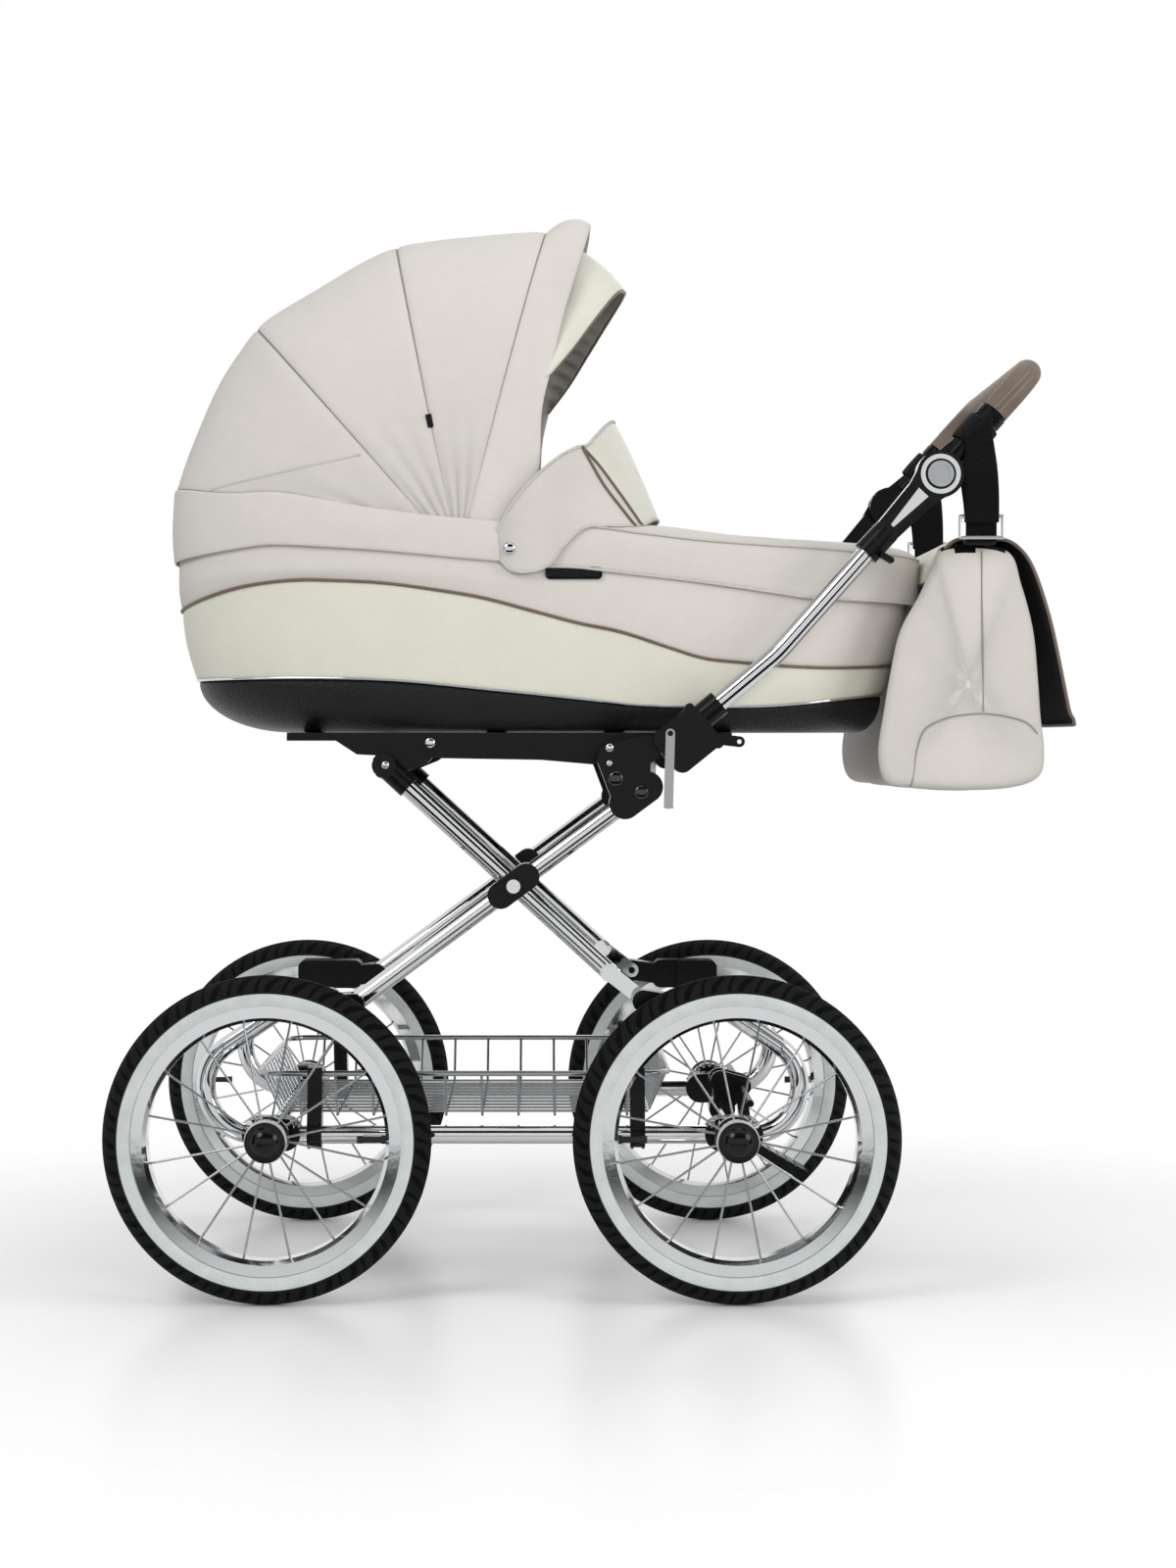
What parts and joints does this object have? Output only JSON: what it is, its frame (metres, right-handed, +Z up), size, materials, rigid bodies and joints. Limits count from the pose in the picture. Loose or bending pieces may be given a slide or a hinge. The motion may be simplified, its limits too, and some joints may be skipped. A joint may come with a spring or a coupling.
{
  "type": "bassinet pram",
  "caption": "Folding pram with a lift-off hooded carrycot, spoked pneumatic wheels, sprung chrome frame, wire basket, turning handle and hanging bag.",
  "frame": {"origin": "on the ground below the centre of the bounding box", "axes": "+Z up, +X towards the handle, +Y across the pram away from the pictured side"},
  "size_m": [1.052, 0.6, 1.1989],
  "materials": {
    "tyre_rubber": "matte rubber with a pale band on the side wall",
    "chrome": "bright chrome plate",
    "hub_black": "gloss black",
    "black_plastic": "fine-grained black plastic",
    "tub_plastic": "pebbled black plastic",
    "satin_button": "satin silver",
    "grip_leather": "stitched taupe leather",
    "leatherette": "cream leatherette",
    "cloth": "grey-beige woven cloth",
    "bedding": "soft quilted cloth",
    "bow_steel": "dark lacquered steel",
    "webbing": "black webbing"
  },
  "bodies": {
    "chassis": {"side_rails": "chrome", "axles": "chrome", "cross_tubes": "chrome", "axle_brackets": "black_plastic", "suspension_units": "black_plastic", "basket": "chrome", "basket_clips": "black_plastic"},
    "wheel_front_left": {"tyre_front_left": "tyre_rubber", "rim_front_left": "chrome", "spokes_front_left": "chrome", "hub_front_left": "hub_black"},
    "wheel_front_right": {"tyre_front_right": "tyre_rubber", "rim_front_right": "chrome", "spokes_front_right": "chrome", "hub_front_right": "hub_black"},
    "wheel_rear_left": {"tyre_rear_left": "tyre_rubber", "rim_rear_left": "chrome", "spokes_rear_left": "chrome", "hub_rear_left": "hub_black"},
    "wheel_rear_right": {"tyre_rear_right": "tyre_rubber", "rim_rear_right": "chrome", "spokes_rear_right": "chrome", "hub_rear_right": "hub_black"},
    "brake": {"brake_pedal": "black_plastic"},
    "outer_frame": {"outer_legs": "chrome", "cross_hubs": "black_plastic", "rear_castings": "black_plastic", "handle_housings": "black_plastic", "push_tubes": "chrome", "handle_arms": "black_plastic"},
    "inner_frame": {"inner_legs": "chrome", "leg_ends": "black_plastic"},
    "knees": {"knee_links": "chrome"},
    "deck": {"platform": "black_plastic"},
    "cot": {"base_tub": "tub_plastic", "cot_body": "leatherette", "mattress": "bedding", "hood_band": "cloth", "apron": "cloth", "wind_flap": "leatherette", "snaps": "chrome", "hood_hinges": "black_plastic", "hood_panel_rear": "cloth"},
    "rear_bow": {"bow_rear": "bow_steel", "hood_panel_middle": "cloth"},
    "middle_bow": {"bow_middle": "bow_steel", "hood_panel_front": "cloth"},
    "front_bow": {"bow_front": "bow_steel", "hood_visor": "leatherette"},
    "release_left": {"lever_left": "chrome"},
    "release_right": {"lever_right": "chrome"},
    "press_left": {"button_left": "satin_button"},
    "press_right": {"button_right": "satin_button"},
    "handle": {"handle_bar": "black_plastic", "handle_grip": "grip_leather", "strap_sleeves": "webbing"},
    "bag": {"bag_body": "cloth", "bag_straps": "webbing", "bag_rings": "chrome"},
    "flap": {"bag_flap": "leatherette"}
  },
  "joints": [
    {"name": "front_left_wheel_spin", "type": "hinge", "parent": "chassis", "child": "wheel_front_left", "pos_m": [-0.351, 0, 0.175], "axis": [0, 1, 0], "continuous": true},
    {"name": "front_right_wheel_spin", "type": "hinge", "parent": "chassis", "child": "wheel_front_right", "pos_m": [-0.351, 0, 0.175], "axis": [0, 1, 0], "continuous": true},
    {"name": "rear_left_wheel_spin", "type": "hinge", "parent": "chassis", "child": "wheel_rear_left", "pos_m": [0.149, 0, 0.175], "axis": [0, 1, 0], "continuous": true},
    {"name": "rear_right_wheel_spin", "type": "hinge", "parent": "chassis", "child": "wheel_rear_right", "pos_m": [0.149, 0, 0.175], "axis": [0, 1, 0], "continuous": true},
    {"name": "frame_fold", "type": "hinge", "parent": "chassis", "child": "outer_frame", "pos_m": [-0.262, 0, 0.314], "axis": [0, 1, 0], "range_deg": [0, 24]},
    {"name": "inner_leg_fold", "type": "hinge", "parent": "outer_frame", "child": "inner_frame", "pos_m": [-0.08938, 0, 0.44197], "axis": [0, 1, 0], "range_deg": [-59.77, 0]},
    {"name": "knee_fold", "type": "hinge", "parent": "chassis", "child": "knees", "pos_m": [0.051, 0, 0.318], "axis": [0, 1, 0], "range_deg": [0, 107.44]},
    {"name": "platform_level", "type": "hinge", "parent": "outer_frame", "child": "deck", "pos_m": [0.015, 0, 0.584], "axis": [0, 1, 0], "range_deg": [-24, 0]},
    {"name": "cot_lift", "type": "slide", "parent": "deck", "child": "cot", "axis": [0, 0, 1], "range_m": [0, 0.25]},
    {"name": "hood_fold", "type": "hinge", "parent": "cot", "child": "rear_bow", "pos_m": [-0.15, 0, 0.8003], "axis": [0, -1, 0], "range_deg": [0, 27], "deforming": ["hood_panel_rear"]},
    {"name": "hood_fold_middle", "type": "hinge", "parent": "rear_bow", "child": "middle_bow", "pos_m": [-0.15, 0, 0.8003], "axis": [0, -1, 0], "range_deg": [0, 25.4], "deforming": ["hood_panel_middle"]},
    {"name": "hood_fold_front", "type": "hinge", "parent": "middle_bow", "child": "front_bow", "pos_m": [-0.15, 0, 0.8003], "axis": [0, -1, 0], "range_deg": [0, 20], "deforming": ["hood_panel_front"]},
    {"name": "handle_angle", "type": "hinge", "parent": "outer_frame", "child": "handle", "pos_m": [0.37, 0, 0.886], "axis": [0, 1, 0], "range_deg": [0, 60]},
    {"name": "bag_hang", "type": "hinge", "parent": "handle", "child": "bag", "pos_m": [0.41116, 0, 0.93236], "axis": [0, 1, 0], "range_deg": [-60, 0]},
    {"name": "bag_flap_open", "type": "hinge", "parent": "bag", "child": "flap", "pos_m": [0.4, 0, 0.817], "axis": [0, 1, 0], "range_deg": [-80, 0]},
    {"name": "left_button_press", "type": "slide", "parent": "outer_frame", "child": "press_left", "axis": [0, 1, 0], "range_m": [0, 0.003], "stiffness_N_per_m": 600, "springref_m": -0.001},
    {"name": "right_button_press", "type": "slide", "parent": "outer_frame", "child": "press_right", "axis": [0, -1, 0], "range_m": [0, 0.003], "stiffness_N_per_m": 600, "springref_m": -0.001},
    {"name": "left_lever_release", "type": "hinge", "parent": "outer_frame", "child": "release_left", "pos_m": [0.079, 0, 0.607], "axis": [0, 1, 0], "range_deg": [-75, 0]},
    {"name": "right_lever_release", "type": "hinge", "parent": "outer_frame", "child": "release_right", "pos_m": [0.079, 0, 0.607], "axis": [0, 1, 0], "range_deg": [-75, 0]},
    {"name": "brake_press", "type": "hinge", "parent": "chassis", "child": "brake", "pos_m": [0.17, 0, 0.201], "axis": [0, 1, 0], "range_deg": [0, 10]}
  ],
  "couplings": [
    {"joint": "inner_leg_fold", "follows": "frame_fold", "ratio": -2.4894},
    {"joint": "knee_fold", "follows": "frame_fold", "ratio": 4.4756},
    {"joint": "platform_level", "follows": "frame_fold", "ratio": -1},
    {"joint": "hood_fold_middle", "follows": "hood_fold", "ratio": 0.94074},
    {"joint": "hood_fold_front", "follows": "hood_fold", "ratio": 0.74074},
    {"joint": "bag_hang", "follows": "handle_angle", "ratio": -1}
  ]
}
